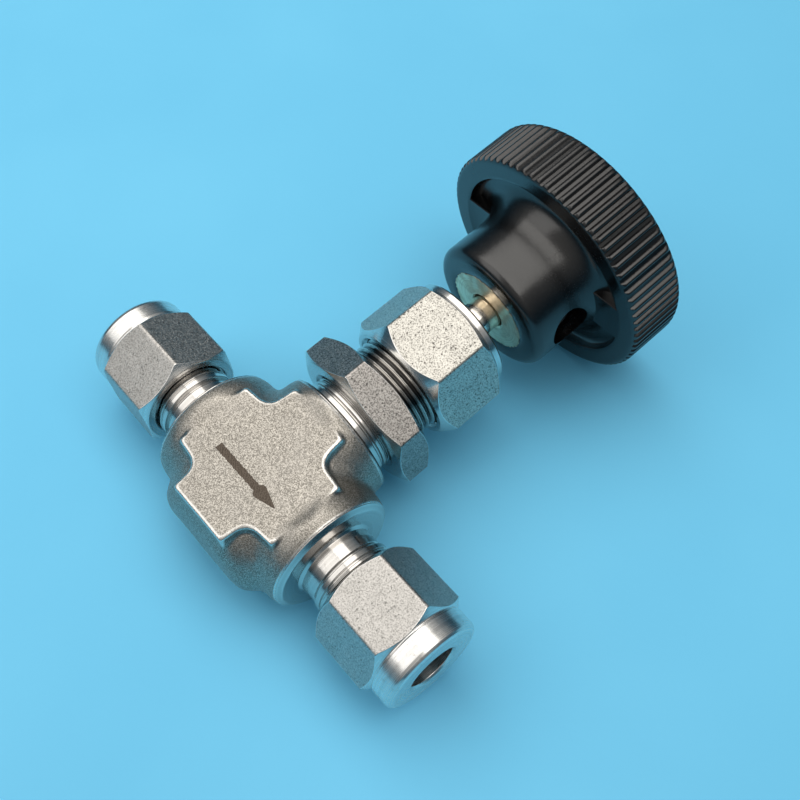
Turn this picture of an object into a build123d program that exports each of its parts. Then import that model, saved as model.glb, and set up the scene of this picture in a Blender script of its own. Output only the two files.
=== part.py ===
from build123d import *
from math import cos, pi, sin, tan, radians
import os

# Straight-pattern needle valve with an integral bonnet, two-ferrule tube ends and a round ribbed handle.
#
# The origin is where the flow axis crosses the stem axis. The flow runs from +X (inlet) to -X (outlet),
# the stem comes out along -Y, and the face with the flow arrow looks along +Z.
# Turned pieces are drawn as (radius, height) profiles, with the height measured from the origin along
# the axis that they are turned about. All sizes are in millimetres.

# Standard sizes
TUBE_BORE_R = 3.25          # socket for tube of 6.35 mm outside diameter
TUBE_NUT_ACROSS_FLATS = 14.29
PACKING_NUT_ACROSS_FLATS = 17.58
PANEL_NUT_ACROSS_FLATS = 19.77
RUN = 0.08                  # radial clearance of every screwed or sliding fit
SEAM = 0.03                 # gap left between neighbouring pieces that touch in service

# Forged body
FLAT_Z = 8.6                # half thickness over the cross-shaped flats
ARM_X = 9.7                 # reach of the flats along the flow axis
ARM_Y_STEM = 10.0
ARM_Y_BLIND = 9.4
BOSS_R = 9.3
BOSS_X = 13.1               # machined end face of an inlet or outlet boss
BOSS_Y = 12.1               # machined panel shoulder of the bonnet boss
BLIND_Y = 11.7              # closed end opposite the bonnet
BLIND_CORNER_R = 3.0
CROWN_FOOT_Y = 9.2          # where the closed end's crown meets the flats
BEVEL_X = 12.5              # where a boss's machined bevel starts
BEVEL_R = 8.95
BOSS_FACE_R = 8.2
FORGE_DRAFT = 5.0           # degrees
NOTCH_R = 2.0

# End connections, measured from the origin along the flow axis
NECK_R = 5.45
NECK_RING_R = 5.75
END_THREAD_R = 5.35
END_THREAD_PITCH = 1.27
NECK_GROOVE_X = 16.2
NECK_RING_END_X = 17.6
NECK_END_X = 25.4
TUBE_STOP_X = 16.0
SOCKET_MOUTH_R = 4.25
NUT_BACK_X = 18.3
NUT_HEX_X = (19.25, 27.67)
NUT_COLLAR_X = 28.6
NUT_END_X = 32.0
NUT_COLLAR_R = 7.15
NUT_BORE_R = 3.32

# Bonnet, measured from the origin along the stem axis
BONNET_THREAD_R = 7.2
BONNET_THREAD_PITCH = 1.0
BONNET_END = 28.0
PANEL_NUT_HEX = (15.10, 18.22)
PACKING_NUT_BACK = 22.4
PACKING_NUT_HEX = (24.33, 31.99)
PACKING_NUT_TOP = 34.4
PACKING_COLLAR_R = 8.15

# Flow path
ORIFICE_R = 2.0
SEAT = 1.0                  # height of the seat's edge
CHAMBER_R = 4.3
CHAMBER_TOP = 11.6
PORT_R = 2.2
PORT_END_X = 7.0

# Stem
STEM_R = 2.55
STEM_THREAD_R = 3.95
STEM_THREAD_PITCH = 0.9
STEM_THREAD_SPAN = (10.9, 17.2)
STEM_TOP = 50.6
LIFT = 3.6                  # how far the stem stands above its closed position
PACKING_BORE_R = 5.0
PACKING_FLOOR = 18.4

# Handle
HUB_END = 39.0
HUB_R = 10.05
HANDLE_R = 18.15
RIM_FACE = 49.45
RIM_TOP = 58.6
RIB_COUNT = 80
RIB_DEPTH = 0.42
RECESS_R = 14.8
RECESS_FLOOR = 51.1
WEB_WIDTH = 6.8
WEB_ANGLES = (185.0, 5.0)   # degrees from +X towards -Z, as for the set screw
INSERT_R = 6.57
INSERT_BORE_R = 2.78
INSERT_TOP = 51.0
SET_SCREW_R = 2.0
SET_SCREW_HEIGHT = 45.2
SET_SCREW_ANGLE = 182.0
SET_SCREW_HOLE_R = 3.1
SOCKET_KEY_R = 1.15         # corner radius of the set screw's hexagon socket

ON_STEM = Rot(90, 0, 0)     # local +Z becomes -Y, local +Y becomes +Z
ON_INLET = Rot(0, 90, 0)    # local +Z becomes +X
ON_OUTLET = Rot(0, -90, 0)  # local +Z becomes -X


def turned(*points):
    """A solid of revolution about Z from the (radius, height) corners of a closed profile."""
    outline = Polyline(*[(r, 0, h) for r, h in points], close=True)
    return revolve(make_face(outline), axis=Axis.Z)


def ring(inner, outer, low, high):
    return turned((inner, low), (outer, low), (outer, high), (inner, high))


def plug(radius, low, high):
    return turned((0, low), (radius, low), (radius, high), (0, high))


def threaded(major, pitch, low, high, depth=0.55):
    """A rod with one V groove per turn, the plain stand-in for a male thread."""
    turns = int((high - low) / pitch - 0.5)
    corners = [(0, low), (major - depth, low), (major, low + depth)]
    for turn in range(turns):
        foot = low + depth + (turn + 0.35) * pitch
        corners += [(major, foot - 0.3 * pitch), (major - depth * pitch, foot), (major, foot + 0.3 * pitch)]
    corners += [(major, high - depth), (major - depth, high), (0, high)]
    return turned(*corners)


def hexagon(across_flats, low, high, face_angle):
    """A hexagonal prism about Z with the normal of one face at face_angle degrees from +X."""
    corner_radius = across_flats / 2 / cos(pi / 6)
    outline = RegularPolygon(corner_radius, 6, rotation=face_angle + 30)
    return Pos(0, 0, low) * extrude(outline, high - low)


def chamfered_hex(across_flats, corners, ends, end_radii, face_angle):
    """A hexagon whose corners run between the heights in corners, turned down to end_radii at ends."""
    corner_radius = across_flats / 2 / cos(pi / 6)
    prism = hexagon(across_flats, ends[0], ends[1], face_angle)
    blank = turned(
        (0, ends[0]), (end_radii[0], ends[0]), (corner_radius + 0.01, corners[0]),
        (corner_radius + 0.01, corners[1]), (end_radii[1], ends[1]), (0, ends[1]),
    )
    return prism & blank


def cross_slab():
    """The forging's cross-shaped pads, widest at the parting plane and drafted to both flats."""
    grow = FLAT_Z * tan(radians(FORGE_DRAFT))
    tip, root = 5.45 + grow, 5.9 + grow
    side, waist = 4.95 + grow, 5.4 + grow
    reach, blind, stem = ARM_X + grow, ARM_Y_BLIND + grow, ARM_Y_STEM + grow
    outline = Polyline(
        (reach, tip), (waist, root), (side, blind), (-side, blind), (-waist, root), (-reach, tip),
        (-reach, -tip), (-waist, -root), (-side, -stem), (side, -stem), (waist, -root), (reach, -tip),
        close=True,
    )
    face = make_face(outline)
    notches = [v for v in face.vertices() if abs(abs(v.X) - waist) < 0.01 and abs(abs(v.Y) - root) < 0.01]
    face = fillet(notches, NOTCH_R + grow)
    upper = extrude(face, FLAT_Z, taper=FORGE_DRAFT)
    return upper + mirror(upper, about=Plane.XY)


def forged_bosses():
    """Round inlet, outlet and bonnet bosses, with the blind end crowned and its corners rounded."""
    along_x = turned(
        (0, -BOSS_X), (BOSS_FACE_R, -BOSS_X), (BEVEL_R, -BEVEL_X), (BOSS_R, 1.1 - BEVEL_X),
        (BOSS_R, BEVEL_X - 1.1), (BEVEL_R, BEVEL_X), (BOSS_FACE_R, BOSS_X), (0, BOSS_X),
    )
    along_x = ON_INLET * along_x
    along_y = ON_STEM * turned(
        (0, -BLIND_Y), (BOSS_R, -BLIND_Y), (BOSS_R, 10.6), (9.0, BOSS_Y - 0.4), (8.5, BOSS_Y), (0, BOSS_Y),
    )
    blind_edges = along_y.faces().sort_by(Axis.Y)[-1].edges()
    along_y = fillet(blind_edges, BLIND_CORNER_R)
    outside = 11
    crown = make_face(
        Polyline(
            (0, CROWN_FOOT_Y, FLAT_Z), (0, CROWN_FOOT_Y, outside), (0, -BOSS_X, outside),
            (0, -BOSS_X, -outside), (0, CROWN_FOOT_Y, -outside), (0, CROWN_FOOT_Y, -FLAT_Z),
        )
        + ThreePointArc((0, CROWN_FOOT_Y, -FLAT_Z), (0, BLIND_Y, 0), (0, CROWN_FOOT_Y, FLAT_Z))
    )
    along_y &= Pos(-outside, 0, 0) * extrude(crown, 2 * outside, dir=(1, 0, 0))
    return along_x, along_y


def forging():
    along_x, along_y = forged_bosses()
    core = along_x + along_y
    reach = 10.2
    for side in (1, -1):
        milled = Box(2 * reach, reach + 13.0, 4, align=(Align.CENTER, Align.MIN, Align.CENTER))
        core -= Pos(0, -ARM_Y_STEM - 0.4, side * (FLAT_Z + 2)) * milled
    return core + cross_slab()


def end_neck():
    """The machined neck outside a boss: shank, groove, ring and the thread for the tube nut."""
    shank = turned(
        (0, 12), (NECK_R, 12), (NECK_R, NECK_GROOVE_X - 0.1), (NECK_R - 0.25, NECK_GROOVE_X),
        (NECK_R - 0.25, NECK_GROOVE_X + 0.15), (NECK_RING_R - 0.1, NECK_GROOVE_X + 0.2),
        (NECK_RING_R, NECK_GROOVE_X + 0.35), (NECK_RING_R, NECK_RING_END_X - 0.15),
        (NECK_RING_R - 0.15, NECK_RING_END_X), (0, NECK_RING_END_X),
    )
    thread = threaded(END_THREAD_R, END_THREAD_PITCH, NECK_RING_END_X - 0.2, NECK_END_X)
    return shank + thread


def end_bore():
    """The tube socket with its ferrule mouth, and the port that leads on from the tube stop."""
    return turned(
        (0, PORT_END_X), (PORT_R, PORT_END_X), (PORT_R, TUBE_STOP_X), (TUBE_BORE_R, TUBE_STOP_X),
        (TUBE_BORE_R, NECK_END_X - 2.6), (SOCKET_MOUTH_R, NECK_END_X + 0.1), (0, NECK_END_X + 0.1),
    )


def bonnet():
    """The panel neck above the shoulder: two rings and the thread for the panel and packing nuts."""
    groove = 13.3
    neck = turned(
        (0, 10), (BONNET_THREAD_R + 0.1, 10), (BONNET_THREAD_R + 0.1, groove - 0.15),
        (BONNET_THREAD_R - 0.35, groove), (BONNET_THREAD_R - 0.35, groove + 0.15),
        (BONNET_THREAD_R, groove + 0.4), (BONNET_THREAD_R, 14.3), (0, 14.3),
    )
    return neck + threaded(BONNET_THREAD_R, BONNET_THREAD_PITCH, 14.0, BONNET_END)


def bonnet_bore():
    """Orifice, seat, chamber, stem thread and packing box, bored from the bonnet's end."""
    return turned(
        (0, -5.0), (ORIFICE_R, -5.0), (ORIFICE_R, SEAT), (CHAMBER_R, SEAT + 1.6),
        (CHAMBER_R, CHAMBER_TOP), (STEM_THREAD_R + RUN, CHAMBER_TOP + 0.3),
        (STEM_THREAD_R + RUN, PACKING_FLOOR), (PACKING_BORE_R, PACKING_FLOOR),
        (PACKING_BORE_R, BONNET_END + 1), (0, BONNET_END + 1),
    )


def slanted_passage(start, end):
    """A straight drilled way of the orifice's size from one port towards the seat."""
    run = Vector(*end) - Vector(*start)
    rod = Cylinder(ORIFICE_R, run.length, align=(Align.CENTER, Align.CENTER, Align.MIN))
    return Plane(origin=start, z_dir=run) * rod


def flow_arrow():
    """The shallow arrow on the marked face, pointing to the outlet."""
    tail, shoulder, tip, middle = 5.4, -2.6, -6.3, 2.17
    half, head = 0.5, 0.95
    outline = Polyline(
        (tail, middle + half), (shoulder, middle + half), (shoulder, middle + head), (tip, middle),
        (shoulder, middle - head), (shoulder, middle - half), (tail, middle - half), close=True,
    )
    return Pos(0, 0, FLAT_Z - 0.06) * extrude(make_face(outline), 1)


def body():
    solid = forging() + ON_INLET * end_neck() + ON_OUTLET * end_neck() + ON_STEM * bonnet()
    solid -= ON_STEM * bonnet_bore()
    solid -= ON_INLET * end_bore()
    solid -= ON_OUTLET * end_bore()
    solid -= slanted_passage((PORT_END_X + 0.8, 0, 0), (0, 4.2, 0))
    solid -= slanted_passage((-PORT_END_X - 0.8, 0, 0), (0, -5.0, 0))
    return solid - flow_arrow()


def tube_nut(face_angle):
    """A coupling nut: hexagon, round collar, thread bore and the cone that drives the ferrules."""
    outside = chamfered_hex(
        TUBE_NUT_ACROSS_FLATS, NUT_HEX_X, (NUT_BACK_X, NUT_COLLAR_X), (7.0, NUT_COLLAR_R), face_angle,
    )
    collar = turned(
        (0, NUT_COLLAR_X - 1), (NUT_COLLAR_R, NUT_COLLAR_X - 1), (NUT_COLLAR_R, NUT_END_X - 0.7),
        (NUT_COLLAR_R - 0.2, NUT_END_X - 0.2), (NUT_COLLAR_R - 0.7, NUT_END_X), (0, NUT_END_X),
    )
    bore = turned(
        (0, NUT_BACK_X - 1), (END_THREAD_R + RUN + 0.5, NUT_BACK_X - 1),
        (END_THREAD_R + RUN, NUT_BACK_X + 0.5), (END_THREAD_R + RUN, 29.2),
        (NUT_BORE_R, 30.0), (NUT_BORE_R, NUT_END_X - 0.3), (NUT_BORE_R + 0.3, NUT_END_X + 0.01),
        (0, NUT_END_X + 0.01),
    )
    return outside + collar - bore


def front_ferrule():
    """The long cone that seals in the body's mouth."""
    nose = NECK_END_X - 2.2
    return turned(
        (TUBE_BORE_R + 0.03, nose), (TUBE_BORE_R + 0.12, nose), (4.8, 27.3), (4.8, 27.6),
        (TUBE_BORE_R + 0.9, 27.6), (TUBE_BORE_R + 0.03, 26.9),
    )


def back_ferrule():
    """The short collar between the front ferrule and the nut."""
    return turned(
        (TUBE_BORE_R + 0.03, 27.15), (TUBE_BORE_R + 0.75, 27.7), (5.1, 27.75), (5.1, 29.0),
        (TUBE_BORE_R + 0.03, 29.85),
    )


def panel_nut():
    face_radius = PANEL_NUT_ACROSS_FLATS / 2 - 0.1
    ends = (PANEL_NUT_HEX[0] - 0.85, PANEL_NUT_HEX[1] + 0.85)
    outside = chamfered_hex(
        PANEL_NUT_ACROSS_FLATS, PANEL_NUT_HEX, ends, (face_radius, face_radius), 119.3,
    )
    flare = 0.6
    bore = turned(
        (0, ends[0] - 0.1), (BONNET_THREAD_R + RUN + flare, ends[0] - 0.1),
        (BONNET_THREAD_R + RUN, ends[0] + flare), (BONNET_THREAD_R + RUN, ends[1] - flare),
        (BONNET_THREAD_R + RUN + flare, ends[1] + 0.1), (0, ends[1] + 0.1),
    )
    return outside - bore


def packing_nut():
    """The gland nut: hexagon, thin end collar, thread bore and a close hole for the stem."""
    shoulder = PACKING_NUT_HEX[1] + 1.2
    outside = chamfered_hex(
        PACKING_NUT_ACROSS_FLATS, PACKING_NUT_HEX, (PACKING_NUT_BACK, shoulder), (8.4, 8.5), 103.0,
    )
    collar = turned(
        (0, shoulder - 1), (7.9, shoulder - 1), (7.9, shoulder + 0.15),
        (PACKING_COLLAR_R, shoulder + 0.2), (PACKING_COLLAR_R, PACKING_NUT_TOP - 0.25),
        (PACKING_COLLAR_R - 0.25, PACKING_NUT_TOP), (0, PACKING_NUT_TOP),
    )
    bore = turned(
        (0, PACKING_NUT_BACK - 1), (BONNET_THREAD_R + RUN + 0.5, PACKING_NUT_BACK - 0.1),
        (BONNET_THREAD_R + RUN, PACKING_NUT_BACK + 0.5), (BONNET_THREAD_R + RUN, 30.2),
        (STEM_R + RUN, 30.2), (STEM_R + RUN, PACKING_NUT_TOP - 0.4),
        (STEM_R + RUN + 0.4, PACKING_NUT_TOP + 0.01), (0, PACKING_NUT_TOP + 0.01),
    )
    return outside + collar - bore


def stem_tip():
    """The non-rotating needle, hung on the stem's end by an internal collar."""
    low, high = SEAT + LIFT - 2.2, SEAT + LIFT + 5.8
    seat_radius = ORIFICE_R - 0.02
    slope = 0.6
    shoulder = SEAT + LIFT + 1.5
    needle = turned(
        (0, low), (seat_radius - slope * 2.2, low), (seat_radius + slope * 1.5, shoulder),
        (3.2, shoulder + 0.3), (3.2, high), (0, high),
    )
    socket = turned(
        (0, high - 3.6), (2.1, high - 3.6), (2.1, high - 1.8), (1.5, high - 1.5),
        (1.5, high + 0.1), (0, high + 0.1),
    )
    return needle - socket


def stem():
    """The spindle: swivel button, thread, and the polished shank that the handle grips."""
    top = SEAT + LIFT + 5.8
    low, high = STEM_THREAD_SPAN
    button = plug(2.0, top - 3.5, top - 1.9)
    waist = plug(1.4, top - 2.0, top + 0.3)
    shoulder = plug(2.8, top + 0.1, low + 0.5)
    thread = threaded(STEM_THREAD_R, STEM_THREAD_PITCH, low, high, 0.4)
    shank = turned(
        (0, high - 1), (STEM_R, high - 1), (STEM_R, STEM_TOP - 0.4), (STEM_R - 0.4, STEM_TOP), (0, STEM_TOP),
    )
    return button + waist + shoulder + thread + shank


def gland(low, high, foot_r):
    return ring(STEM_R + 0.05, foot_r, low, high)


def lower_gland():
    return gland(PACKING_FLOOR + SEAM, 20.4, PACKING_BORE_R - 0.05)


def packing_ring(index):
    """One PTFE ring of the stack, coned so that it nests in the next."""
    pitch, cone = 1.75, 0.35
    low = 20.4 + cone + SEAM + index * pitch
    high = low + pitch - SEAM
    inner, outer = STEM_R + 0.03, PACKING_BORE_R - 0.03
    middle = (inner + outer) / 2
    return turned(
        (inner, low), (middle, low - cone), (outer, low), (outer, high), (middle, high - cone), (inner, high),
    )


def upper_gland():
    """The top-hat gland that the packing nut drives into the packing box."""
    foot = 20.4 + 0.35 + 3 * 1.75 + 2 * SEAM
    top = 30.2 - SEAM
    return turned(
        (STEM_R + 0.05, foot), (PACKING_BORE_R - 0.05, foot), (PACKING_BORE_R - 0.05, BONNET_END + 0.6),
        (6.6, BONNET_END + 0.6), (6.6, top), (STEM_R + 0.05, top),
    )


def rib_outline():
    """The rim's plan: flat-topped ribs with slightly narrower valleys between them."""
    pitch = 360 / RIB_COUNT
    corners = []
    for rib in range(RIB_COUNT):
        crest, valley = HANDLE_R, HANDLE_R - RIB_DEPTH
        for share, radius in ((-0.27, crest), (0.27, crest), (0.40, valley), (0.60, valley)):
            angle = radians((rib + share) * pitch)
            corners.append((radius * sin(angle), radius * cos(angle)))
    return make_face(Polyline(*corners, close=True))


def handle_blank():
    """The turned shape of the handle: hub, dished recess, rim and the dished outer face."""
    pocket = INSERT_TOP + 0.2
    dish = RIM_TOP - 0.7
    outline = (
        Polyline((0, 0, pocket), (INSERT_R, 0, pocket), (INSERT_R, 0, HUB_END), (8.7, 0, HUB_END))
        + ThreePointArc((8.7, 0, HUB_END), (9.65, 0, HUB_END + 0.42), (HUB_R, 0, HUB_END + 1.4))
        + Line((HUB_R, 0, HUB_END + 1.4), (HUB_R, 0, 46.3))
        + ThreePointArc((HUB_R, 0, 46.3), (10.75, 0, 49.3), (12.6, 0, RECESS_FLOOR))
        + Polyline((12.6, 0, RECESS_FLOOR), (14.1, 0, RECESS_FLOOR))
        + Polyline((14.1, 0, RECESS_FLOOR), (14.65, 0, RECESS_FLOOR - 0.6), (RECESS_R, 0, RIM_FACE))
        + Line((RECESS_R, 0, RIM_FACE), (17.35, 0, RIM_FACE))
        + ThreePointArc((17.35, 0, RIM_FACE), (17.9, 0, RIM_FACE + 0.25), (HANDLE_R, 0, RIM_FACE + 0.8))
        + Line((HANDLE_R, 0, RIM_FACE + 0.8), (HANDLE_R, 0, 57.5))
        + ThreePointArc((HANDLE_R, 0, 57.5), (17.8, 0, 58.25), (17.0, 0, RIM_TOP))
        + Polyline((17.0, 0, RIM_TOP), (12.0, 0, RIM_TOP), (11.2, 0, dish), (0, 0, dish), (0, 0, pocket))
    )
    return revolve(make_face(outline), axis=Axis.Z)


def web(angle):
    """One web that fills the recess flush with the rim's face, from the hub to the rim."""
    slab = Pos(12.4, 0, RIM_FACE + 1.3) * Box(5.6, WEB_WIDTH, 2.6)
    return Rot(0, 0, -angle) * slab


def radial(tool, height, angle):
    """Turns a tool that is drawn along Z so that it points out from the stem axis at a height."""
    return Rot(0, 0, -angle) * Pos(0, 0, height) * Rot(0, 90, 0) * tool


def handle():
    solid = handle_blank() & Pos(0, 0, HUB_END) * extrude(rib_outline(), RIM_TOP - HUB_END)
    for angle in WEB_ANGLES:
        solid += web(angle)
    hole = radial(plug(SET_SCREW_HOLE_R, 5, 14), SET_SCREW_HEIGHT, SET_SCREW_ANGLE)
    return solid - hole


def handle_insert():
    """The knurled brass bush moulded into the hub."""
    bush = ring(INSERT_BORE_R, INSERT_R - 0.01, HUB_END, INSERT_TOP)
    return bush - radial(plug(SET_SCREW_R + 0.01, 1, 9), SET_SCREW_HEIGHT, SET_SCREW_ANGLE)


def set_screw():
    """A cup-point socket set screw, from the stem's flank to a little way inside its hole in the hub."""
    point = STEM_R + 0.02
    top = 8.0
    blank = turned(
        (0, point), (1.3, point), (SET_SCREW_R, point + 0.6),
        (SET_SCREW_R, top - 0.3), (SET_SCREW_R - 0.3, top), (0, top),
    )
    socket = Pos(0, 0, top - 2.0) * extrude(RegularPolygon(SOCKET_KEY_R, 6), 3)
    return radial(blank - socket, SET_SCREW_HEIGHT, SET_SCREW_ANGLE)


PIECES = {
    "body": body(),
    "stem": ON_STEM * stem(),
    "stem_tip": ON_STEM * stem_tip(),
    "lower_gland": ON_STEM * lower_gland(),
    "lower_packing": ON_STEM * packing_ring(0),
    "middle_packing": ON_STEM * packing_ring(1),
    "upper_packing": ON_STEM * packing_ring(2),
    "upper_gland": ON_STEM * upper_gland(),
    "packing_nut": ON_STEM * packing_nut(),
    "panel_nut": ON_STEM * panel_nut(),
    "handle": ON_STEM * handle(),
    "handle_insert": ON_STEM * handle_insert(),
    "set_screw": ON_STEM * set_screw(),
    "inlet_nut": ON_INLET * tube_nut(34.6),
    "inlet_front_ferrule": ON_INLET * front_ferrule(),
    "inlet_back_ferrule": ON_INLET * back_ferrule(),
    "outlet_nut": ON_OUTLET * tube_nut(3.4),
    "outlet_front_ferrule": ON_OUTLET * front_ferrule(),
    "outlet_back_ferrule": ON_OUTLET * back_ferrule(),
}

os.makedirs("parts", exist_ok=True)
for name, piece in PIECES.items():
    piece.label = name
    export_step(piece, f"parts/{name}.step")
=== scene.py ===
from math import acos, cos, degrees, pi, radians, sin, tan

import bmesh
import bpy
import numpy as np
from mathutils import Matrix, Vector


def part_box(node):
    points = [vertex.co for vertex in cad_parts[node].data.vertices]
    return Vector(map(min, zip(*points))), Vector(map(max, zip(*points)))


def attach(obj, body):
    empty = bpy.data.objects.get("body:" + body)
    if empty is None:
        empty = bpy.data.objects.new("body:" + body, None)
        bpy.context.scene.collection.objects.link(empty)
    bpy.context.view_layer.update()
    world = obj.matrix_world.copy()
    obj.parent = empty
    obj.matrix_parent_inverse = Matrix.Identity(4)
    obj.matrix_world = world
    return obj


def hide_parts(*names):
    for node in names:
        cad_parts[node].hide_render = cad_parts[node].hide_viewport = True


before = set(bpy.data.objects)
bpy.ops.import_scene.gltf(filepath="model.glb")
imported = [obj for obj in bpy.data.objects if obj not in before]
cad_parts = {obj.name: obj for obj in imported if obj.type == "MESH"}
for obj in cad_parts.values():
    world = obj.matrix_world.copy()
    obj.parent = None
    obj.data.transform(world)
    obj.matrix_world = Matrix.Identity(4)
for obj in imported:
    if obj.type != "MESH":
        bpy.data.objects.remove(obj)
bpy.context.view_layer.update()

# A needle valve: forged body, two tube nuts, panel nut, packing nut, stem and ribbed handle.
# The origin is where the flow axis (X) crosses the stem axis (the handle is along -Y), and the
# face with the arrow looks up (+Z). Every length below is in millimetres; MM turns it into metres.

MM = 0.001

# Metres within which points are welded, and below which an edge is a sliver
WELD = 1e-7
SLIVER = 1e-8

# Axes of the turned pieces: where each piece's own x, y and z (the turning axis) point
STEM_AXES = ((1, 0, 0), (0, 0, 1), (0, -1, 0))
INLET_AXES = ((0, 0, -1), (0, 1, 0), (1, 0, 0))
OUTLET_AXES = ((0, 0, 1), (0, 1, 0), (-1, 0, 0))

# Sizes that the frame gives
BODY_LOW, BODY_HIGH = (np.array(corner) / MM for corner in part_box("body"))
BOSS_R = float(BODY_HIGH[2])
NECK_END = float(BODY_HIGH[0])
BLIND_Y = float(BODY_HIGH[1])
BONNET_END = -float(BODY_LOW[1])
HANDLE_R = float(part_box("handle")[1][0]) / MM
RIM_TOP = -float(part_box("handle")[0][1]) / MM
HUB_END = -float(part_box("handle")[1][1]) / MM
STEM_TOP = -float(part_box("stem")[0][1]) / MM
TUBE_NUT = [float(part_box("inlet_nut")[end][0]) / MM for end in (0, 1)]
PACKING_NUT = [-float(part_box("packing_nut")[end][1]) / MM for end in (1, 0)]
PANEL_NUT = [-float(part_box("panel_nut")[end][1]) / MM for end in (1, 0)]

# Forging: the cross-shaped slab's flats and arms, the bosses' ends, and the die's draft
FLAT_Z = 8.6
ARM_X = 9.7
ARM_STEM = 10.0
ARM_BLIND = 9.75
ARM_X_HALF = 5.45
ARM_Y_HALF = 4.95
ARM_FLARE = 0.105
BLIND_CROWN = 2.5
BOSS_X = 13.1
BOSS_Y = 12.1
BEVEL_X = 12.5
BEVEL_Y = 11.7
DRAFT = tan(radians(5))
VOXEL = 0.2

# Bores in the forging: radii, and distances from the origin along each axis
END_BORE_FLOOR = 6.8
BONNET_BORE_R = 6.4
BONNET_BORE_FLOOR = 9.2
CHAMBER_R = 4.3
CHAMBER_FLOOR = 2.6
ORIFICE_R = 2.05
ORIFICE_DEPTH = 5.0
SEAT = 1.0
SEAT_FLARE = 1.44
PASSAGE_R = 2.0
PASSAGE_X = 7.8
INLET_RISE = 4.2
OUTLET_DROP = 5.0

# Ends, bonnet and stem
TUBE_R = 3.25
TUBE_STOP = 16.0
PORT_R = 2.2
NECK_R = 5.45
NECK_RING_R = 5.75
END_THREAD_R = 5.35
END_PITCH = 1.27
BONNET_R = 7.2
BONNET_PITCH = 1.0
STEM_R = 2.55
STEM_THREAD_R = 3.95
STEM_PITCH = 0.9
PACKING_BORE_R = 5.0
PACKING_FLOOR = 18.4
RUN = 0.08

# Nuts: sizes across the flats, the angle that the first flat faces, and how edges are eased
TUBE_NUT_FLATS = 14.29
PACKING_NUT_FLATS = 17.58
PANEL_NUT_FLATS = 19.77
INLET_NUT_ANGLE = 34.6
OUTLET_NUT_ANGLE = 3.4
PACKING_NUT_ANGLE = 103.0
PANEL_NUT_ANGLE = 119.3
TUBE_HOLE_R = 3.32
NUT_BLUNT = 0.14
NUT_EDGE = 0.07

# Handle
HUB_R = 10.05
RIM_FACE = 49.45
RECESS_R = 14.8
RECESS_FLOOR = 51.1
POCKET_FLOOR = 51.2
RIB_COUNT = 80
RIB_DEPTH = 0.42
WEB_HALF = 3.4
WEB_SPAN = (9.5, 15.25)
WEB_ANGLES = (185, 5)
INSERT_R = 6.57
INSERT_BORE_R = 2.78
SCREW_HEIGHT = 45.2
SCREW_ANGLE = 182
SCREW_HOLE_R = 3.1
SCREW_HOLE_SPAN = (4.5, 13.5)
SHARP_ANGLE = 32


# ---------------------------------------------------------------- mesh tools

def finish_mesh(name, points, faces, slots, face_slots=None, axes=None, weighted=True, depths=None):
    """A smooth piece from points in millimetres, welded, with its faces turned outwards.

    face_slots picks a material for each face, axes turns the points into the frame, weighted leans
    the shading to the larger faces, and depths is how deep each point lies in a thread groove.
    """
    points = np.asarray(points, float)
    if axes is not None:
        points = points @ np.array(axes, float)
    mesh = bpy.data.meshes.new(name)
    mesh.from_pydata((points * MM).tolist(), [], [list(map(int, face)) for face in faces])
    if face_slots is not None:
        mesh.polygons.foreach_set("material_index", np.asarray(face_slots, np.int32))
    if depths is not None:
        mark = mesh.attributes.new("depth", "FLOAT", "POINT")
        mark.data.foreach_set("value", np.asarray(depths, np.float32))
    work = bmesh.new()
    work.from_mesh(mesh)
    bmesh.ops.remove_doubles(work, verts=work.verts, dist=WELD)
    bmesh.ops.dissolve_degenerate(work, edges=work.edges, dist=SLIVER)
    bmesh.ops.recalc_face_normals(work, faces=work.faces)
    work.to_mesh(mesh)
    work.free()
    mesh.shade_smooth()
    piece = bpy.data.objects.new(name, mesh)
    bpy.context.scene.collection.objects.link(piece)
    for material in slots:
        mesh.materials.append(material)
    if weighted:
        follow_large_faces(mesh)
    return piece


def follow_large_faces(mesh):
    """Point normals that lean to the larger faces, so that flats stay flat beside their small bevels."""
    faces, corners = len(mesh.polygons), len(mesh.loops)
    normals, areas, sizes = np.empty(faces * 3), np.empty(faces), np.empty(faces, np.int32)
    owners = np.empty(corners, np.int32)
    mesh.polygons.foreach_get("normal", normals)
    mesh.polygons.foreach_get("area", areas)
    mesh.polygons.foreach_get("loop_total", sizes)
    mesh.loops.foreach_get("vertex_index", owners)
    pull = np.repeat(normals.reshape(-1, 3) * (areas / MM ** 2)[:, None] ** 2, sizes, axis=0)
    total = np.zeros((len(mesh.vertices), 3))
    np.add.at(total, owners, pull)
    total /= np.linalg.norm(total, axis=1)[:, None] + 1e-20
    mesh.normals_split_custom_set_from_vertices(total.tolist())


def softened(corners, radius):
    """The closed outline with each corner rounded by three points, so that every edge catches light."""
    result = []
    count = len(corners)
    for index, corner in enumerate(corners):
        here = np.array(corner[:2], float)
        before = np.array(corners[index - 1][:2], float) - here
        after = np.array(corners[(index + 1) % count][:2], float) - here
        cut = min(radius, 0.3 * np.linalg.norm(before), 0.3 * np.linalg.norm(after))
        start = here + before / (np.linalg.norm(before) + 1e-9) * cut
        end = here + after / (np.linalg.norm(after) + 1e-9) * cut
        middle = here * 0.5 + (start + end) * 0.25
        result += [tuple(start), tuple(middle), tuple(end)]
    return result


def grid_faces(columns, rows):
    """Quads of a grid that is closed both ways: rows run along the profile, columns round the axis."""
    column, row = np.meshgrid(np.arange(columns), np.arange(rows), indexing="ij")
    right, up = (column + 1) % columns, (row + 1) % rows
    quads = np.stack([column * rows + row, right * rows + row, right * rows + up, column * rows + up], -1)
    return quads.reshape(-1, 4)


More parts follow.
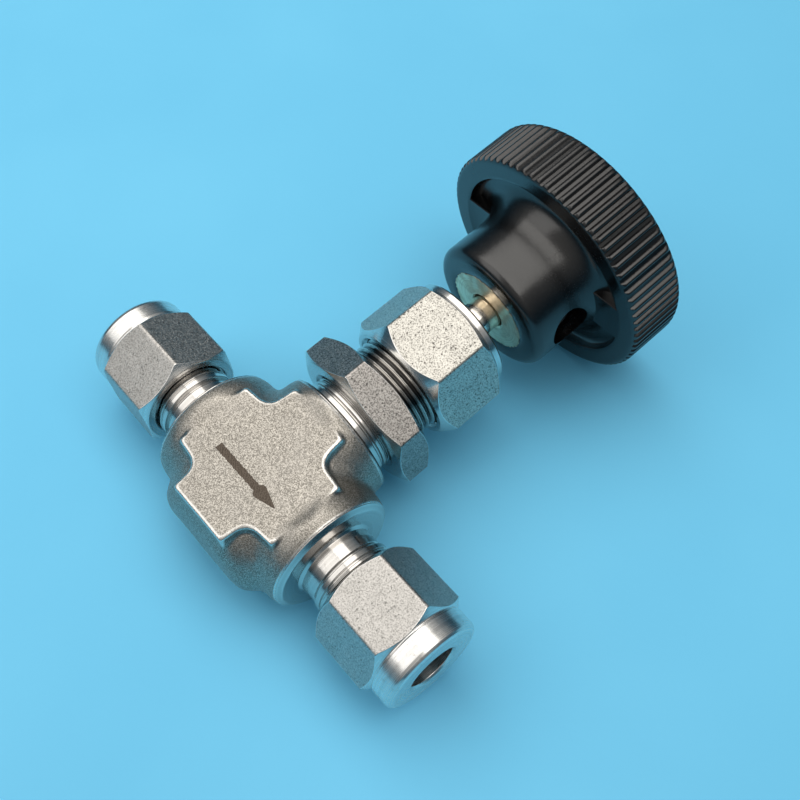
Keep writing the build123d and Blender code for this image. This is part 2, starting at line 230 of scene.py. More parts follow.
def swept(name, angles, column_profiles, axes, materials, row_slots=None, weighted=True, depths=None):
    """A piece whose section at each angle is a closed profile of (radius, height) rows."""
    profiles = np.array(column_profiles, float)
    turn = np.array(angles, float)[:, None]
    radius, height = profiles[..., 0], profiles[..., 1]
    points = np.stack([radius * np.cos(turn), radius * np.sin(turn), height], -1).reshape(-1, 3)
    columns, rows = radius.shape
    faces = grid_faces(columns, rows)
    face_slots = None if row_slots is None else np.tile(row_slots, columns)
    return finish_mesh(name, points, faces, materials, face_slots, axes, weighted, depths)


def groove(share):
    """Depth of a V thread, 0 on the crest and 1 at the root, over one turn's share from 0 to 1."""
    slope = np.abs((share % 1.0) - 0.5) * 2
    return np.clip((1 - slope) * 1.3 - 0.15, 0, 1)


def thread_rows(major, low, high, pitch, depth):
    """Rows of (radius, height, depth) that a helical groove is cut into, fading out at both ends."""
    rows_a_turn, fade_turns = 16, 0.8
    heights = np.linspace(low, high, int((high - low) / pitch * rows_a_turn))
    fade = np.clip(np.minimum(heights - low, high - heights) / (fade_turns * pitch), 0, 1)
    return [(major, h, depth * f) for h, f in zip(heights, fade)]


def turned(name, outline, axes, materials, edge=0.06, columns=144, pitch=1.0, weighted=True):
    """A turned piece. Outline rows with a third value keep their place and carry a thread's depth."""
    rows = []
    count = len(outline)
    for index, corner in enumerate(outline):
        if len(corner) == 3:
            rows.append(corner)
            continue
        trio = [outline[index - 1], corner, outline[(index + 1) % count]]
        rows += [(r, h, 0.0) for r, h in softened(trio, edge)[3:6]]
    rows = np.array(rows)
    angles = np.arange(columns) * 2 * pi / columns
    share = rows[None, :, 1] / pitch - angles[:, None] / (2 * pi)
    cut = rows[None, :, 2] * groove(share)
    radius = rows[None, :, 0] - cut
    height = np.broadcast_to(rows[None, :, 1], radius.shape)
    profiles = np.stack([radius, height], -1)
    return swept(name, angles, profiles, axes, materials, weighted=weighted, depths=cut.reshape(-1))


def arc(centre, radius, start, end, steps):
    """Points on a circular arc in the profile plane, angles in degrees from the radius direction."""
    turns = np.radians(np.linspace(start, end, steps))
    return [(centre[0] + radius * cos(t), centre[1] + radius * sin(t)) for t in turns]


# ---------------------------------------------------------------- forging by distance field

def soft_min(a, b, width):
    """The smaller of two distances, blended over the given width where they are nearly equal."""
    share = np.clip(0.5 + 0.5 * (b - a) / width, 0, 1)
    return b * (1 - share) + a * share - width * share * (1 - share)


def soft_max(a, b, width):
    """The larger of two distances, blended in the same way."""
    return -soft_min(-a, -b, width)


def cross_field(x, y, z):
    """Distance to the cross-shaped slab, drafted from the parting plane to its two flats."""
    grow = (FLAT_Z - np.abs(z)).clip(0) * DRAFT
    across_x = np.abs(y) - grow - ARM_X_HALF - (ARM_X - np.abs(x)) * ARM_FLARE
    arm_x = soft_max(np.abs(x) - ARM_X - grow, across_x, 0.5)
    reach = np.where(y > 0, y - ARM_BLIND, -y - ARM_STEM) - grow
    across_y = np.abs(x) - grow - ARM_Y_HALF - (ARM_STEM - np.abs(y)) * ARM_FLARE
    arm_y = soft_max(reach, across_y, 0.5)
    return soft_max(soft_min(arm_x, arm_y, 1.9), np.abs(z) - FLAT_Z, 0.42)


def bevelled_end(side, radius, along, face_r, bevel, end, lean):
    """A boss's side cut by the cone of its end bevel and by the flat end beyond it."""
    outward = 0.95
    cone = (radius - face_r) * outward + (along - bevel) * lean
    return soft_max(soft_max(side, cone, 0.3), along - end, 0.15)


def boss_field(x, y, z):
    """Distance to the two crossing bosses, whose blind end is crowned and whose tops meet the flats."""
    flow_r, stem_r = np.hypot(y, z), np.hypot(x, z)
    flow_face_r, stem_face_r = 8.95, 9.0
    flow_lean, stem_lean = 0.31, 0.28
    along_x = bevelled_end(
        flow_r - BOSS_R, flow_r, np.abs(x), flow_face_r, BEVEL_X, BEVEL_X, flow_lean,
    )
    crown_r = (FLAT_Z ** 2 + BLIND_CROWN ** 2) / (2 * BLIND_CROWN)
    crown = np.hypot(y - (BLIND_Y - crown_r), z) - crown_r
    along_y = soft_max(stem_r - BOSS_R, crown, 3.4)
    along_y = bevelled_end(along_y, stem_r, -y, stem_face_r, BEVEL_Y, BEVEL_Y + 0.05, stem_lean)
    both = soft_min(along_x, along_y, 1.6)
    beyond = np.maximum(np.abs(x) - ARM_X + 0.5, -y - ARM_STEM + 0.3)
    slope, step = 0.42, 0.08
    rise = beyond * slope + step
    return soft_max(both, (np.abs(z) - FLAT_Z - rise.clip(-1.2, 2)) * 0.92, 0.35)


def rod_field(x, y, z, start, end):
    """Distance to a passage drilled between two points of the parting plane."""
    run = np.array(end, float) - np.array(start, float)
    along = ((x - start[0]) * run[0] + (y - start[1]) * run[1]) / (run @ run)
    along = along.clip(0, 1)
    off_x, off_y = x - start[0] - along * run[0], y - start[1] - along * run[1]
    return np.sqrt(off_x ** 2 + off_y ** 2 + z ** 2) - PASSAGE_R


def cavity_field(x, y, z):
    """Distance to everything that is bored out of the forging."""
    flow_r, stem_r = np.hypot(y, z), np.hypot(x, z)
    end_bore = np.maximum(flow_r - (NECK_R - 0.25), END_BORE_FLOOR - np.abs(x))
    bonnet_bore = np.maximum(stem_r - BONNET_BORE_R, y + BONNET_BORE_FLOOR)
    chamber_ends = np.maximum(y + CHAMBER_FLOOR, -y - BONNET_BORE_FLOOR - 0.4)
    chamber = np.maximum(stem_r - CHAMBER_R, chamber_ends)
    orifice = np.maximum(stem_r - ORIFICE_R, np.maximum(y - ORIFICE_DEPTH, -y - 3.0))
    seat_r = ORIFICE_R + (-y - SEAT) * SEAT_FLARE
    seat_ends = np.maximum(y + SEAT, -y - CHAMBER_FLOOR - 0.2)
    seat_slant = 0.57  # turns a measure across the axis into one square to the cone
    seat = np.maximum((stem_r - seat_r) * seat_slant, seat_ends)
    inlet = rod_field(x, y, z, (PASSAGE_X, 0, 0), (0, INLET_RISE, 0))
    outlet = rod_field(x, y, z, (-PASSAGE_X, 0, 0), (0, -OUTLET_DROP, 0))
    bores = np.minimum(end_bore, bonnet_bore)
    throat = np.minimum(chamber, np.minimum(orifice, seat))
    return np.minimum(np.minimum(bores, throat), np.minimum(inlet, outlet))


def unevenness(x, y, z):
    """The slow waviness that forging dies leave, a few hundredths of a millimetre."""
    first = np.sin(0.83 * x + 1.3 * np.sin(0.55 * z + 0.4 * y) + 0.7)
    second = np.sin(1.07 * y - 1.1 * np.sin(0.61 * x) + 2.1) * np.sin(0.9 * z + 0.5 * x)
    third = np.sin(2.3 * x + 1.9 * y + 0.8 * np.sin(1.7 * z)) * 0.35
    return (first + second + third) * 0.02


def forging_field(x, y, z):
    """Distance to the whole forging, which is waviest on its sides and truest on its two flats."""
    solid = soft_min(cross_field(x, y, z), boss_field(x, y, z), 0.36)
    side = np.clip((FLAT_Z - 0.15 - np.abs(z)) / 0.8, 0, 1)
    solid = solid + unevenness(x, y, z) * (0.25 + 0.75 * side)
    return np.maximum(solid, -cavity_field(x, y, z))


def surface_net(field, low, step):
    """Quads round the zero level of a sampled field, one point for each cell that it crosses."""
    cells = tuple(n - 1 for n in field.shape)
    corners = [np.array((i, j, k)) for i in (0, 1) for j in (0, 1) for k in (0, 1)]
    total, count = np.zeros(cells + (3,)), np.zeros(cells)
    for first in corners:
        for axis in range(3):
            if first[axis]:
                continue
            second = first.copy()
            second[axis] = 1
            windows = [tuple(slice(c, c + n) for c, n in zip(end, cells)) for end in (first, second)]
            a, b = (field[window] for window in windows)
            cross = (a < 0) != (b < 0)
            share = np.where(cross, a / np.where(cross, a - b, 1), 0)
            total += cross[..., None] * (first + share[..., None] * (second - first))
            count += cross
    active = count > 0
    index = np.full(cells, -1)
    index[active] = np.arange(active.sum())
    points = (np.argwhere(active) + total[active] / count[active][:, None]) * step + low
    quads = []
    for axis in range(3):
        u, v = (axis + 1) % 3, (axis + 2) % 3
        ends = [slice(1, -1)] * 3
        ends[axis] = slice(0, -1)
        later = list(ends)
        later[axis] = slice(1, None)
        inside, outside = field[tuple(ends)] < 0, field[tuple(later)] < 0
        base = np.argwhere(inside != outside)
        base[:, u] += 1
        base[:, v] += 1
        ring = []
        for du, dv in ((0, 0), (-1, 0), (-1, -1), (0, -1)):
            cell = base.copy()
            cell[:, u] += du
            cell[:, v] += dv
            ring.append(index[tuple(cell.T)])
        quads.append(np.stack(ring, -1))
    return points, np.concatenate(quads)


def forging(materials):
    """The forged body, with an edge value on each point: the material burnishes where it is positive and
    paints shade where it is negative.
    """
    margin, stem_side = 0.7, -12.5
    low = np.array((-BEVEL_X - margin, stem_side, -BOSS_R - margin))
    high = np.array((BEVEL_X + margin, BLIND_Y + margin, BOSS_R + margin))
    axes = [np.arange(a, b, VOXEL) for a, b in zip(low, high)]
    points, quads = surface_net(forging_field(*np.meshgrid(*axes, indexing="ij")), low, VOXEL)
    probe, passes, longest = 0.02, 3, 0.06
    for _ in range(passes):
        value = forging_field(*points.T)
        shifts = np.eye(3) * probe
        slope = np.stack([(forging_field(*(points + s).T) - value) / probe for s in shifts], -1)
        step = (value / np.maximum((slope ** 2).sum(-1), 0.2)).clip(-longest, longest)
        points = points - slope * step[:, None]
    piece = finish_mesh("valve_forging", points, quads, materials, weighted=False)
    co = np.empty(len(piece.data.vertices) * 3)
    piece.data.vertices.foreach_get("co", co)
    spots = co.reshape(-1, 3) / MM
    around, sharpest = 0.4, 1.6
    spread = sum(
        forging_field(*(spots + side * around * axis).T) for axis in np.eye(3) for side in (1, -1)
    )
    edge = piece.data.attributes.new("edge", "FLOAT", "POINT")
    edge.data.foreach_set("value", (spread / around / sharpest).clip(-1, 1).astype(np.float32))
    return piece


# ---------------------------------------------------------------- machined pieces

def neck(name, axes, materials):
    """A machined end: bevelled boss face, shank, grooves, ring, thread and tube socket."""
    floor = 6.9
    rows = [
        (PORT_R, floor), (NECK_R - 0.22, floor), (NECK_R - 0.22, BEVEL_X - 0.1),
        (8.93, BEVEL_X - 0.1), (8.98, BEVEL_X + 0.05), (8.25, BOSS_X - 0.02), (8.1, BOSS_X),
        (NECK_R + 0.35, BOSS_X), (NECK_R, BOSS_X + 0.35), (NECK_R, 15.75),
        (NECK_R - 0.3, 15.95), (NECK_R - 0.3, 16.15), (NECK_RING_R, 16.35), (NECK_RING_R, 17.0),
        (NECK_RING_R - 0.28, 17.15), (NECK_RING_R - 0.28, 17.3), (NECK_RING_R - 0.05, 17.42),
        (NECK_RING_R - 0.1, 17.7), (END_THREAD_R, 17.95),
    ]
    rows += thread_rows(END_THREAD_R, 18.1, NECK_END - 0.5, END_PITCH, 0.62)
    rows += [
        (END_THREAD_R - 0.5, NECK_END), (TUBE_R + 0.97, NECK_END), (TUBE_R, NECK_END - 2.6),
        (TUBE_R, TUBE_STOP), (PORT_R, TUBE_STOP),
    ]
    return turned(name, rows, axes, materials, pitch=END_PITCH)


def bonnet(materials):
    """The threaded panel neck with its shoulder, and the packing box inside it."""
    root, root_r = 9.5, 6.45
    rows = [
        (STEM_THREAD_R + RUN, root), (root_r, root), (root_r, 11.65), (8.98, 11.65), (9.02, 11.78),
        (8.55, BOSS_Y - 0.02), (8.4, BOSS_Y), (BONNET_R + 0.3, BOSS_Y), (BONNET_R + 0.12, BOSS_Y + 0.15),
        (BONNET_R + 0.12, 12.95), (BONNET_R - 0.3, 13.1), (BONNET_R - 0.3, 13.3), (BONNET_R, 13.45),
        (BONNET_R, 13.9), (BONNET_R - 0.25, 14.0), (BONNET_R - 0.25, 14.12), (BONNET_R, 14.25),
    ]
    rows += thread_rows(BONNET_R, 14.4, BONNET_END - 0.5, BONNET_PITCH, 0.56)
    rows += [
        (BONNET_R - 0.5, BONNET_END), (PACKING_BORE_R, BONNET_END), (PACKING_BORE_R, PACKING_FLOOR),
        (STEM_THREAD_R + RUN, PACKING_FLOOR),
    ]
    return turned("bonnet", rows, STEM_AXES, materials, pitch=BONNET_PITCH, columns=180)


def hexagon_columns(across_flats, face_angle, blunt):
    """Angles and reach of a hexagon with blunted corners, with a column at each end of every flat."""
    corner = across_flats / 2 / cos(pi / 6)
    edge = degrees(acos(across_flats / 2 / (corner - blunt)))
    beside = (30 - edge) * 0.45
    shares = list(np.linspace(-edge, edge, 25)) + [30 - beside, 30, 30 + beside]
    angles, reach = [], []
    for face in range(6):
        for share in shares:
            local = min(share, 60 - share)
            flat = across_flats / 2 / cos(radians(local))
            angles.append(radians(face_angle + face * 60 + share))
            round_off = corner - blunt * (0.72 + 0.28 * (30 - local) / (30 - edge))
            reach.append(min(flat, round_off) if local > edge else flat)
    return angles, reach


def nut(name, across_flats, face_angle, hex_span, ends, end_radii, inside, outside, axes, materials):
    """A hexagon whose two ends are turned to cones, with turned rows inside and beyond its top end."""
    angles, reach = hexagon_columns(across_flats, face_angle, NUT_BLUNT)
    corner = across_flats / 2 / cos(pi / 6)
    profiles = []
    for r in reach:
        low = ends[0] + (r - end_radii[0]) / (corner - end_radii[0]) * (hex_span[0] - ends[0])
        high = ends[1] - (r - end_radii[1]) / (corner - end_radii[1]) * (ends[1] - hex_span[1])
        hexagon = [(end_radii[0], ends[0]), (r, low), (r, high), (end_radii[1], ends[1])]
        profiles.append(softened(inside + hexagon + outside, NUT_EDGE))
    rows = len(profiles[0])
    row_slots = np.ones(rows, int)
    flat_row = (len(inside) + 1) * 3 + 2
    row_slots[flat_row] = 0
    return swept(name, angles, profiles, axes, materials, row_slots)


def tube_nut(name, axes, face_angle, materials):
    """A coupling nut with its round collar; the tube goes in through the collar's face."""
    back, top = TUBE_NUT
    collar = 7.15
    shoulder = top - 3.4
    inside = [
        (TUBE_HOLE_R, top - 2.0), (END_THREAD_R + RUN, top - 2.8), (END_THREAD_R + RUN, back + 0.5),
        (END_THREAD_R + RUN + 0.5, back),
    ]
    outside = [
        (collar - 0.12, shoulder + 0.1), (collar, shoulder + 0.35), (collar, top - 0.8),
        (collar - 0.09, top - 0.45), (collar - 0.32, top - 0.14), (collar - 0.75, top),
        (TUBE_HOLE_R + 0.32, top), (TUBE_HOLE_R, top - 0.3),
    ]
    return nut(
        name, TUBE_NUT_FLATS, face_angle, (back + 0.95, shoulder - 0.93), (back, shoulder),
        (6.95, collar - 0.12), inside, outside, axes, materials,
    )


def packing_nut(materials):
    """The gland nut, with a polished cone at its back and a thin collar beyond a groove at its top."""
    back, top = PACKING_NUT
    collar, groove_r = 8.15, 7.75
    shoulder = top - 1.32
    bore, roof = BONNET_R + RUN, 30.2
    inside = [(STEM_R + RUN, roof), (bore, roof), (bore, back + 0.55), (bore + 0.5, back)]
    outside = [
        (groove_r, shoulder + 0.02), (groove_r, shoulder + 0.2), (collar, shoulder + 0.24),
        (collar, top - 0.25), (collar - 0.25, top), (STEM_R + RUN + 0.4, top), (STEM_R + RUN, top - 0.4),
    ]
    return nut(
        "gland_nut", PACKING_NUT_FLATS, PACKING_NUT_ANGLE, (back + 1.93, top - 2.41),
        (back, shoulder), (8.4, 8.45), inside, outside, STEM_AXES, materials,
    )


def panel_nut(materials):
    """The thin lock nut, chamfered on both faces."""
    low, high = PANEL_NUT
    bore = BONNET_R + RUN
    inside = [(bore + 0.6, high), (bore, high - 0.6), (bore, low + 0.6), (bore + 0.6, low)]
    return nut(
        "lock_nut", PANEL_NUT_FLATS, PANEL_NUT_ANGLE, (low + 0.85, high - 0.85),
        (low, high), (9.78, 9.78), inside, [], STEM_AXES, materials,
    )


def stem(materials):
    """The spindle: button, thread and polished shank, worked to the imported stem's heights."""
    rows = [
        (0, 6.9), (2.0, 6.9), (2.0, 8.5), (1.4, 8.55), (1.4, 10.4), (2.8, 10.5), (3.3, 10.9),
    ]
    rows += thread_rows(STEM_THREAD_R, 11.1, 17.0, STEM_PITCH, 0.4)
    rows += [(STEM_R, 17.3), (STEM_R, STEM_TOP - 0.4), (STEM_R - 0.4, STEM_TOP), (0, STEM_TOP)]
    return turned("spindle_shaft", rows, STEM_AXES, materials, pitch=STEM_PITCH, columns=96)


# ---------------------------------------------------------------- handle

def rib_reach():
    """Angles and reach of the rim's flat-topped ribs, eight columns to a rib."""
    pitch = 2 * pi / RIB_COUNT
    shape = (
        (-0.25, 0.22), (-0.17, 0.075), (-0.06, 0.0), (0.06, 0.0),
        (0.17, 0.075), (0.25, 0.22), (0.35, RIB_DEPTH), (0.65, RIB_DEPTH),
    )
    angles = [pi / 2 - (rib + share) * pitch for rib in range(RIB_COUNT) for share, _ in shape]
    reach = [HANDLE_R - depth for _ in range(RIB_COUNT) for _, depth in shape]
    return angles, reach


def handle_rows():
    """The handle's turned profile, from the bush's pocket round the hub, recess and rim to the top."""
    dish, fillet, waist = RIM_TOP - 0.7, 4.7, 46.2
    hub_edge, hub_edge_r = 1.45, 8.6
    rows = [(0, POCKET_FLOOR), (INSERT_R - 0.1, POCKET_FLOOR)]
    rows += [(INSERT_R - 0.1, HUB_END + 0.05), (INSERT_R, HUB_END)]
    rows += [(7.6, HUB_END)] + arc((hub_edge_r, HUB_END + hub_edge), hub_edge, -90, 0, 9)
    rows += [(HUB_R, h) for h in np.linspace(41.5, 45.6, 12)]
    rows += [
        (HUB_R + fillet * 0.62 * (1 - cos(t)), waist + (RECESS_FLOOR - waist) * sin(t))
        for t in np.radians(np.linspace(0, 90, 18))
    ]
    rows += [(13.3, RECESS_FLOOR)] + arc((13.75, RECESS_FLOOR - 1.0), 1.0, 80, 5, 7)
    rows += [(RECESS_R - 0.03, RIM_FACE + 0.25), (RECESS_R + 0.04, RIM_FACE + 0.07)]
    rows += [(RECESS_R + 0.2, RIM_FACE)]
    rows += [(r, RIM_FACE) for r in np.linspace(15.4, 16.9, 4)]
    rows += arc((17.35, RIM_FACE + 0.8), 0.8, -90, 0, 9)
    rows += [(HANDLE_R, h) for h in np.linspace(51.5, 56.2, 5)]
    rows += arc((HANDLE_R - 1.15, RIM_TOP - 1.15), 1.15, 0, 90, 8)
    rows += [(14.5, RIM_TOP), (12.2, RIM_TOP)] + arc((12.0, dish), 0.7, 90, 180, 5)[1:]
    rows += [(10.6, dish), (7.0, dish), (3.0, dish), (0, dish)]
    return rows


def web(angle):
    """A bar between hub and rim, flush with the rim's face, with its two edges chamfered."""
    face, foot = RIM_FACE + 0.015, RECESS_FLOOR + 0.6
    chamfer, lean = 0.12, 0.12
    section = [
        (-WEB_HALF - lean, foot), (-WEB_HALF, face + chamfer), (chamfer - WEB_HALF, face),
        (WEB_HALF - chamfer, face), (WEB_HALF, face + chamfer), (WEB_HALF + lean, foot),
    ]
    points = [(out, side, height) for out in WEB_SPAN for side, height in section]
    count = len(section)
    faces = [list(range(count)), list(range(count, 2 * count))]
    faces += [[i, (i + 1) % count, count + (i + 1) % count, count + i] for i in range(count)]
    turn = Matrix.Rotation(-radians(angle), 3, "Z")
    points = [tuple(turn @ Vector(point)) for point in points]
    return finish_mesh("web", points, faces, [], axes=STEM_AXES, weighted=False)


def bake_modifiers(piece):
    """Applies a piece's modifiers to its mesh."""
    bpy.context.view_layer.update()
    graph = bpy.context.evaluated_depsgraph_get()
    mesh = bpy.data.meshes.new_from_object(piece.evaluated_get(graph))
    piece.modifiers.clear()
    piece.data = mesh


def handle(materials):
    """The moulded handle: ribbed rim, recess bridged by two webs, and the set screw's hole."""
    angles, reach = rib_reach()
    rows = handle_rows()
    profiles = [[(min(r, limit), h) for r, h in rows] for limit in reach]
    piece = swept("hand_knob", angles, profiles, STEM_AXES, materials, weighted=False)
    inner, outer = SCREW_HOLE_SPAN
    bore = [(0, inner), (SCREW_HOLE_R, inner), (SCREW_HOLE_R, outer), (0, outer)]
    drill = turned("drill", bore, None, [], edge=0.01, columns=72, weighted=False)
    lift = Matrix.Translation((0, 0, SCREW_HEIGHT * MM))
    turn = Matrix.Rotation(-radians(SCREW_ANGLE), 4, "Z") @ lift
    stand = Matrix(STEM_AXES).transposed().to_4x4()
    drill.data.transform(stand @ turn @ Matrix.Rotation(pi / 2, 4, "Y"))
    tools = [(web(angle), "UNION") for angle in WEB_ANGLES] + [(drill, "DIFFERENCE")]
    for tool, operation in tools:
        step = piece.modifiers.new(tool.name, "BOOLEAN")
        step.object, step.operation, step.solver = tool, operation, "EXACT"
    bake_modifiers(piece)
    piece.data.shade_smooth()
    piece.data.set_sharp_from_angle(angle=radians(SHARP_ANGLE))
    for tool, _ in tools:
        bpy.data.objects.remove(tool)
    return piece


def insert(materials):
    """The brass bush, with the ragged outer edge that its knurl leaves in the hub's end face."""
    columns = 240
    angles = np.arange(columns) * 2 * pi / columns
    ragged = 0.07 * np.sin(29 * angles + 2 * np.sin(5 * angles)) + 0.05 * np.sin(47 * angles + 1.1)
    ragged = ragged + 0.06 * np.sin(11 * angles + 0.6)
    proud, buried, skirt = HUB_END - 0.025, POCKET_FLOOR - 0.2, INSERT_R - 0.25
    profiles = []
    for offset in ragged:
        outer = INSERT_R - 0.12 + offset
        outline = [
            (INSERT_BORE_R, buried), (INSERT_BORE_R, proud + 0.2), (INSERT_BORE_R + 0.2, proud),
            (outer, proud), (outer, HUB_END + 0.06), (skirt, HUB_END + 0.1), (skirt, buried),
        ]
        profiles.append(softened(outline, 0.04))
    return swept("hub_bush", angles, profiles, STEM_AXES, materials)


def arrow(materials):
    """The etched flow arrow, a thin dark inlay whose sides waver a little."""
    middle, half, head = 2.17, 0.5, 0.95
    tail, shoulder, tip = 5.4, -2.6, -6.3
    barb, bulge = shoulder - 0.6, 0.05
    along = np.linspace(tail, shoulder, 60)
    waver = 0.035 * np.sin(5.1 * along) + 0.03 * np.sin(11.7 * along + 1)
    upper = [(x, middle + half + w) for x, w in zip(along, waver)]
    upper += [(shoulder - 0.25, middle + head - 0.1), (barb, middle + head)]
    upper += [
        (x, middle + head * (x - tip) / (barb - tip) + bulge) for x in np.linspace(-3.6, -6.0, 12)
    ]
    lower = [
        (x, middle - head * (x - tip) / (barb - tip) - bulge) for x in np.linspace(-6.0, -3.6, 12)
    ]
    lower += [(barb, middle - head), (shoulder - 0.25, middle - head + 0.1)]
    lower += [(x, middle - half - w) for x, w in zip(along[::-1], waver[::-1])]
    outline = upper + [(tip, middle)] + lower
    top, bottom = FLAT_Z + 0.03, FLAT_Z - 0.3
    count = len(outline)
    points = [(x, y, bottom) for x, y in outline] + [(x, y, top) for x, y in outline]
    faces = [list(range(count))[::-1], list(range(count, 2 * count))]
    faces += [[i, (i + 1) % count, count + (i + 1) % count, count + i] for i in range(count)]
    piece = finish_mesh("flow_arrow", points, faces, materials, weighted=False)
    piece.data.shade_flat()
    return piece


# ---------------------------------------------------------------- materials

class Shader:
    """A material under construction: nodes are added by kind and wired by socket name."""

    def __init__(self, name, **constants):
        self.material = bpy.data.materials.new(name)
        self.material.use_nodes = True
        self.tree = self.material.node_tree
        self.tree.nodes.clear()
        self.surface = self.node("ShaderNodeBsdfPrincipled", **constants)
        output = self.tree.nodes.new("ShaderNodeOutputMaterial")
        self.tree.links.new(self.surface.outputs[0], output.inputs[0])
        place = self.tree.nodes.new("ShaderNodeTexCoord").outputs["Object"]
        self.place = self.node("ShaderNodeVectorMath", operation="SCALE", Vector=place, Scale=1 / MM)

    def node(self, kind, **settings):
        """A node with its settings: sockets by name, or by number as in0, in1, and so on."""
        node = self.tree.nodes.new(kind)
        for key, value in settings.items():
            socket = key.replace("_", " ")
            if key.startswith("in") and key[2:].isdigit():
                self.feed(node.inputs[int(key[2:])], value)
            elif hasattr(node, key) and key not in node.inputs:
                setattr(node, key, value)
            else:
                self.feed(node.inputs[socket], value)
        return node

    def feed(self, socket, value):
        """Links a socket to a node or another socket, or sets its own value."""
        if isinstance(value, bpy.types.Node):
            value = value.outputs[0]
        if isinstance(value, bpy.types.NodeSocket):
            self.tree.links.new(value, socket)
        elif isinstance(value, tuple) and len(value) == 3 and socket.type == "RGBA":
            socket.default_value = (*value, 1)
        else:
            socket.default_value = value

    def noise(self, scale, detail=2.0, roughness=0.5):
        """Noise whose features are about 1 / scale millimetres across."""
        return self.node(
            "ShaderNodeTexNoise", Vector=self.place, Scale=scale, Detail=detail, Roughness=roughness,
        )

    def lines(self, level, scale, detail, roughness=0.5):
        """Noise that varies along one measure only."""
        return self.node(
            "ShaderNodeTexNoise", noise_dimensions="1D", W=level, Scale=scale, Detail=detail,
            Roughness=roughness,
        )

    def spots(self, scale, place=None):
        return self.node("ShaderNodeTexVoronoi", Vector=place or self.place, Scale=scale, Randomness=1.0)

    def ramp(self, value, low, high, start=0.0, end=1.0):
        """Value from low..high mapped smoothly to start..end."""
        return self.node(
            "ShaderNodeMapRange", interpolation_type="SMOOTHSTEP", Value=value,
            From_Min=low, From_Max=high, To_Min=start, To_Max=end,
        )

    def math(self, operation, a, b=0.0):
        return self.node("ShaderNodeMath", operation=operation, in0=a, in1=b)

    def mix(self, factor, a, b):
        """The colour between a and b: sockets 6 and 7 are a Mix node's colours, and 2 its result."""
        node = self.tree.nodes.new("ShaderNodeMix")
        node.data_type = "RGBA"
        self.feed(node.inputs[0], factor)
        self.feed(node.inputs[6], a)
        self.feed(node.inputs[7], b)
        return node.outputs[2]

    def bump(self, height, depth, under=None):
        """Relief of the given depth in millimetres."""
        node = self.node("ShaderNodeBump", Height=height, Distance=depth * MM, Strength=1.0)
        if under is not None:
            self.feed(node.inputs["Normal"], under)
        return node

    def set(self, **values):
        """Feeds the surface's own sockets and gives back the finished material."""
        for key, value in values.items():
            self.feed(self.surface.inputs[key.replace("_", " ")], value)
        return self.material


def blasted_steel():
    """Bead-blasted forging: warm grey sparkle, painted shade darkening its hollows, burnished on edges."""
    s = Shader("blasted_steel", Metallic=1.0)
    fine, coarse, cloud = s.noise(7.5, 2), s.noise(2.6, 3), s.noise(0.22, 2)
    glint = s.ramp(s.spots(6.5), 0.0, 0.32, 1.0, 0.0)
    pepper = s.ramp(s.noise(9.5, 1), 0.60, 0.70)
    edge = s.node("ShaderNodeAttribute", attribute_name="edge").outputs["Fac"]
    colour = s.mix(s.ramp(fine, 0.40, 0.62), (0.185, 0.172, 0.15), (0.50, 0.468, 0.42))
    colour = s.mix(s.ramp(glint, 0.1, 0.9, 0, 0.42), colour, (0.80, 0.76, 0.70))
    colour = s.mix(s.math("MULTIPLY", pepper, 0.55), colour, (0.13, 0.115, 0.10))
    colour = s.mix(s.ramp(cloud, 0.35, 0.7, 0, 0.22), colour, (0.36, 0.34, 0.315))
    colour = s.mix(s.ramp(edge, 0.10, 0.42, 0, 0.8), colour, (0.78, 0.755, 0.715))
    # Painted shade: hollows and creases, where the edge value is negative, darken towards near-black grey.
    colour = s.mix(s.ramp(edge, -0.10, -0.55, 0, 0.78), colour, (0.105, 0.105, 0.108))
    rough = s.math("ADD", s.ramp(coarse, 0.3, 0.7, 0.36, 0.50), s.ramp(edge, 0.10, 0.42, 0.0, -0.16))
    relief = s.bump(fine, 0.022, s.bump(coarse, 0.026))
    return s.set(Base_Color=colour, Roughness=rough, Normal=relief)


def nut_flat_steel(name, tone, dark, amount, grain):
    """A nut's flat as drawn hexagon bar leaves it: fine grain, dark specks and pits, dull white dots."""
    s = Shader(name, Metallic=1.0)
    fine, coarse = s.noise(3.6, 2.5), s.noise(0.5, 2)
    turned_away = s.node("ShaderNodeMapping", Vector=s.place, Rotation=(0.3, 0.5, 0.2))
    pits = s.spots(2.3, turned_away)
    chance = s.node("ShaderNodeSeparateColor", Color=pits.outputs["Color"]).outputs[0]
    wide = s.ramp(chance, 1.0 - amount, 1.0, 0.0, 0.34)
    inside = s.math("LESS_THAN", pits.outputs["Distance"], wide)
    small = s.ramp(s.noise(5.6, 1), 0.52, 0.575)
    white = s.ramp(s.noise(7.0, 1), 0.62, 0.68)
    colour = s.mix(s.ramp(fine, 0.34, 0.66), tuple(c * (1 - grain) for c in tone), tone)
    colour = s.mix(s.ramp(coarse, 0.3, 0.7, 0, 0.12), colour, dark)
    colour = s.mix(s.math("MULTIPLY", small, 0.6 * grain + 0.48), colour, dark)
    colour = s.mix(s.math("MULTIPLY", inside, 0.85), colour, dark)
    colour = s.mix(s.math("MULTIPLY", white, 0.5), colour, (0.86, 0.84, 0.80))
    rough = s.math("ADD", s.ramp(fine, 0.3, 0.7, 0.30, 0.44), s.math("MULTIPLY", white, 0.32))
    height = s.math("SUBTRACT", fine, s.math("MULTIPLY", inside, 0.8))
    return s.set(Base_Color=colour, Roughness=rough, Normal=s.bump(height, 0.022))


